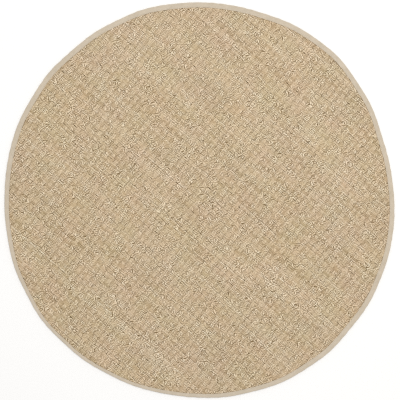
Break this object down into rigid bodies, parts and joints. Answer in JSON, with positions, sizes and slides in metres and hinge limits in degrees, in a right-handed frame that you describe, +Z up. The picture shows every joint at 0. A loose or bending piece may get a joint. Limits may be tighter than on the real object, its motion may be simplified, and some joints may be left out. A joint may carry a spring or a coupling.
{
  "type": "round woven rug",
  "caption": "Flat round floor rug, woven in a basket weave from twisted plant-fibre cord, its rim bound with a narrow cloth tape folded over both faces.",
  "frame": {"origin": "on the floor under the middle of the rug, at the bottom centre of its bounding box", "axes": "+Z is up out of the floor through the rug's thickness; +Y points to the picture's top edge and +X to its right edge, as the rug lies there"},
  "size_m": [1.8092, 1.8342, 0.0092],
  "materials": {
    "woven_cord": "undyed twisted sea-grass cord in a two-over-two basket weave, straw beige flecked with brown and cream, dry and matte with a faint waxy shine",
    "binding_tape": "pale greyish beige cotton canvas tape, matte, lockstitched close to its inner edge with thread of the same colour"
  },
  "bodies": {
    "root": {"woven_field": "woven_cord", "edge_binding": "binding_tape"}
  },
  "joints": []
}
